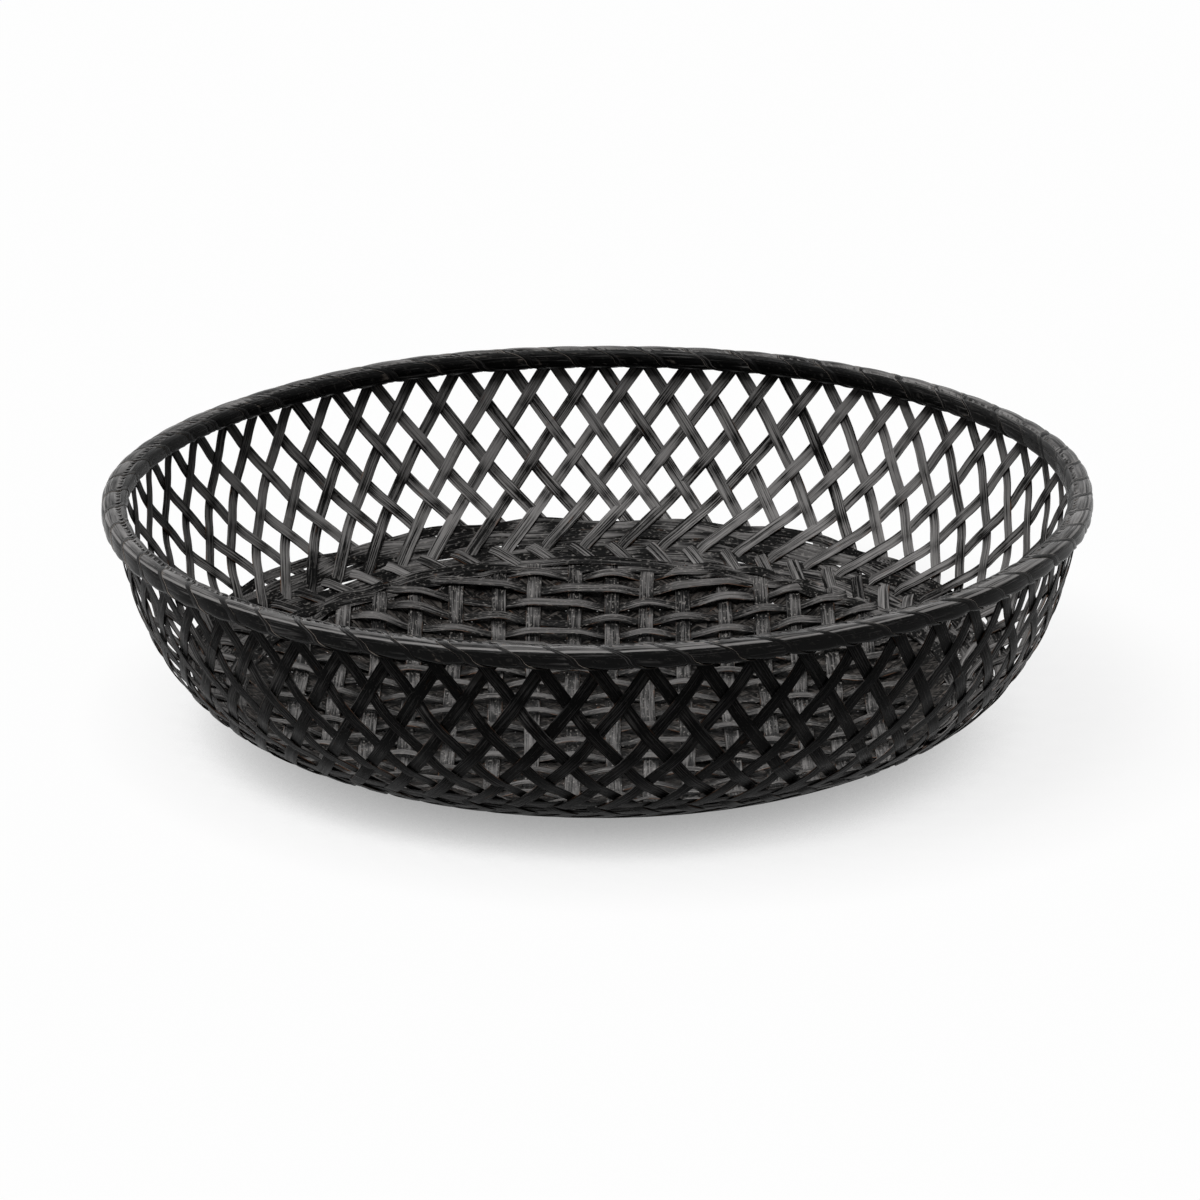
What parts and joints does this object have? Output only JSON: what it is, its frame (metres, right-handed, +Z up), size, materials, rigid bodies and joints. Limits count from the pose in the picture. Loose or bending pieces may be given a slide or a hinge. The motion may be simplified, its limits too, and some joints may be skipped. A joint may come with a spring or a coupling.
{
  "type": "bamboo basket",
  "caption": "Round shallow bowl basket of dark split bamboo, with an open diagonal lattice wall, a dished plain-woven base and a lashed double-hoop rim.",
  "frame": {"origin": "middle of the base, level with the surface it stands on", "axes": "+Z up through the open mouth; X along the cross strips of the base and Y along its straight strips"},
  "size_m": [0.45, 0.45, 0.1117],
  "materials": {
    "wall_bamboo": "dark stained split bamboo, satin",
    "base_bamboo": "dark stained split bamboo, slightly worn",
    "hoop_bamboo": "dark stained bamboo hoop",
    "lashing_bamboo": "dark stained thin bamboo winding, lacquered"
  },
  "bodies": {
    "root": {"base_cross_strip_01": "base_bamboo", "base_cross_strip_02": "base_bamboo", "base_cross_strip_03": "base_bamboo", "base_cross_strip_04": "base_bamboo", "base_cross_strip_05": "base_bamboo", "base_cross_strip_06": "base_bamboo", "base_cross_strip_07": "base_bamboo", "base_cross_strip_08": "base_bamboo", "base_cross_strip_09": "base_bamboo", "base_cross_strip_10": "base_bamboo", "base_cross_strip_11": "base_bamboo", "base_cross_strip_12": "base_bamboo", "base_cross_strip_13": "base_bamboo", "base_cross_strip_14": "base_bamboo", "base_cross_strip_15": "base_bamboo", "base_cross_strip_16": "base_bamboo", "base_cross_strip_17": "base_bamboo", "base_cross_strip_18": "base_bamboo", "base_cross_strip_19": "base_bamboo", "base_straight_strip_01": "base_bamboo", "base_straight_strip_02": "base_bamboo", "base_straight_strip_03": "base_bamboo", "base_straight_strip_04": "base_bamboo", "base_straight_strip_05": "base_bamboo", "base_straight_strip_06": "base_bamboo", "base_straight_strip_07": "base_bamboo", "base_straight_strip_08": "base_bamboo", "base_straight_strip_09": "base_bamboo", "base_straight_strip_10": "base_bamboo", "base_straight_strip_11": "base_bamboo", "base_straight_strip_12": "base_bamboo", "base_straight_strip_13": "base_bamboo", "base_straight_strip_14": "base_bamboo", "base_straight_strip_15": "base_bamboo", "base_straight_strip_16": "base_bamboo", "rim_inner_hoop": "hoop_bamboo", "rim_lashing": "lashing_bamboo", "rim_outer_hoop": "hoop_bamboo", "ring_strip_1": "wall_bamboo", "ring_strip_2": "wall_bamboo", "wall_strips_01": "wall_bamboo", "wall_strips_02": "wall_bamboo", "wall_strips_03": "wall_bamboo", "wall_strips_04": "wall_bamboo", "wall_strips_05": "wall_bamboo", "wall_strips_06": "wall_bamboo", "wall_strips_07": "wall_bamboo", "wall_strips_08": "wall_bamboo", "wall_strips_09": "wall_bamboo", "wall_strips_10": "wall_bamboo", "wall_strips_11": "wall_bamboo", "wall_strips_12": "wall_bamboo", "wall_strips_13": "wall_bamboo", "wall_strips_14": "wall_bamboo", "wall_strips_15": "wall_bamboo", "wall_strips_16": "wall_bamboo", "wall_strips_17": "wall_bamboo", "wall_strips_18": "wall_bamboo", "wall_strips_19": "wall_bamboo", "wall_strips_20": "wall_bamboo"}
  },
  "joints": []
}
